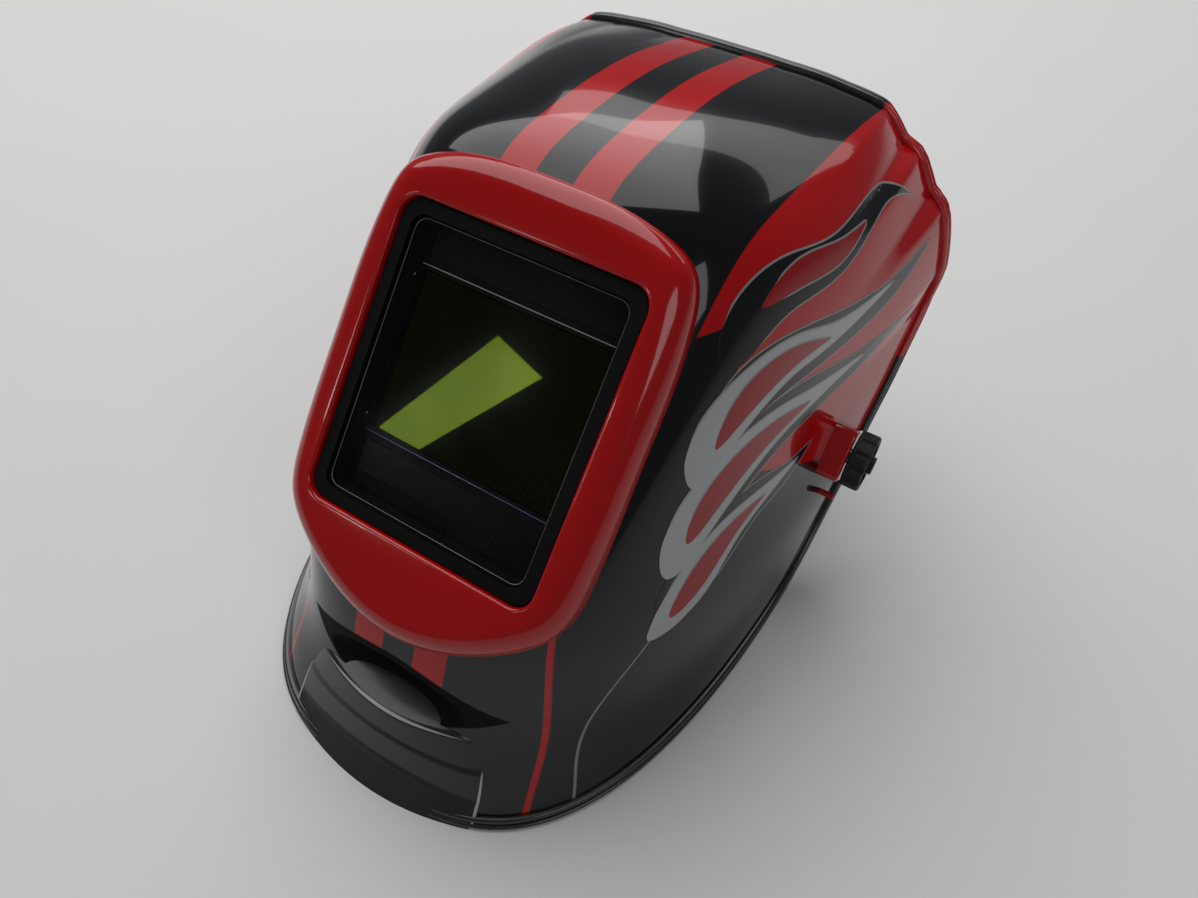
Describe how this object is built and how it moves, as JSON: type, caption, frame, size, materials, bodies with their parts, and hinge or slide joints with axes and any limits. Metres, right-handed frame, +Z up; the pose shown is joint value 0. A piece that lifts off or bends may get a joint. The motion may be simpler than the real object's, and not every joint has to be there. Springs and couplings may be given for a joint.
{
  "type": "welding helmet",
  "caption": "Auto-darkening welding helmet: gloss shell with striped crown and flame sides, framed window, filter cartridge, and ratchet headgear on side pivots.",
  "frame": {"origin": "centre of the footprint on the surface that the jaw rim stands on", "axes": "+Z up, -Y the way the window faces, X across from side to side"},
  "size_m": [0.2874, 0.388, 0.24],
  "materials": {
    "shell_paint": "gloss",
    "black_plastic": "matte",
    "cover_lens": "gloss",
    "filter_glass": "gloss",
    "solar_cell": "gloss",
    "sensor": "gloss",
    "steel": "satin",
    "grey_plastic": "satin",
    "band_plastic": "satin",
    "pad_cloth": "matte",
    "red_plastic": "gloss"
  },
  "bodies": {
    "helmet": {"shell": "shell_paint", "window_gasket": "black_plastic", "cover_lens": "cover_lens", "filter_carrier": "black_plastic", "carrier_screws": "steel", "filter_housing": "black_plastic", "lcd_glass": "filter_glass", "solar_strips": "solar_cell", "arc_sensors": "sensor", "inner_cover_lens": "cover_lens", "retainer_frame": "grey_plastic", "tilt_stop_left": "black_plastic", "tilt_stop_right": "black_plastic"},
    "headgear": {"front_band": "band_plastic", "rear_band": "band_plastic", "crown_strap_front": "band_plastic", "crown_strap_rear": "band_plastic", "strap_link": "band_plastic", "strap_pegs": "band_plastic", "ratchet_housing": "band_plastic", "arm_rivets": "band_plastic", "sweatband": "pad_cloth", "nape_pad": "pad_cloth", "pivot_stud_left": "steel", "pivot_stud_right": "steel", "friction_washer_left": "steel", "friction_washer_right": "steel", "side_arm_left": "band_plastic", "side_arm_right": "band_plastic"},
    "tension_knob_left": {"tension_knob_left": "black_plastic"},
    "tension_knob_right": {"tension_knob_right": "black_plastic"},
    "ratchet_knob": {"ratchet_knob": "band_plastic"},
    "shade_dial": {"shade_dial": "grey_plastic"},
    "sensitivity_dial": {"sensitivity_dial": "grey_plastic"},
    "delay_dial": {"delay_dial": "grey_plastic"},
    "test_button": {"test_button": "red_plastic"},
    "battery_drawer": {"battery_drawer": "grey_plastic", "coin_cell": "steel"},
    "latch_left": {"latch_left": "grey_plastic"},
    "latch_right": {"latch_right": "grey_plastic"}
  },
  "joints": [
    {"name": "headgear_tilt", "type": "hinge", "parent": "helmet", "child": "headgear", "pos_m": [0, 0.05295, 0.079], "axis": [1, 0, 0], "range_deg": [0, 55]},
    {"name": "left_tension", "type": "hinge", "parent": "headgear", "child": "tension_knob_left", "pos_m": [0.13, 0.05295, 0.079], "axis": [1, 0, 0], "range_deg": [0, 360]},
    {"name": "right_tension", "type": "hinge", "parent": "headgear", "child": "tension_knob_right", "pos_m": [-0.13, 0.05295, 0.079], "axis": [-1, 0, 0], "range_deg": [0, 360]},
    {"name": "ratchet_turn", "type": "hinge", "parent": "headgear", "child": "ratchet_knob", "pos_m": [0, 0.17064, 0.04474], "axis": [0, 0.8829, -0.4695], "continuous": true},
    {"name": "shade_turn", "type": "hinge", "parent": "helmet", "child": "shade_dial", "pos_m": [-0.034, -0.0967, 0.11942], "axis": [0, 0.7169, -0.6972], "range_deg": [-135, 135]},
    {"name": "sensitivity_turn", "type": "hinge", "parent": "helmet", "child": "sensitivity_dial", "pos_m": [-0.008, -0.0967, 0.11942], "axis": [0, 0.7169, -0.6972], "range_deg": [-135, 135]},
    {"name": "delay_turn", "type": "hinge", "parent": "helmet", "child": "delay_dial", "pos_m": [0.018, -0.0967, 0.11942], "axis": [0, 0.7169, -0.6972], "range_deg": [-135, 135]},
    {"name": "test_press", "type": "slide", "parent": "helmet", "child": "test_button", "axis": [0, -0.7169, 0.6972], "range_m": [0, 0.001], "stiffness_N_per_m": 600},
    {"name": "battery_slide", "type": "slide", "parent": "helmet", "child": "battery_drawer", "axis": [-1, 0, 0], "range_m": [0, 0.01]},
    {"name": "left_latch", "type": "slide", "parent": "helmet", "child": "latch_left", "axis": [0, 0.6972, 0.7169], "range_m": [0, 0.0045]},
    {"name": "right_latch", "type": "slide", "parent": "helmet", "child": "latch_right", "axis": [0, 0.6972, 0.7169], "range_m": [0, 0.0045]}
  ]
}
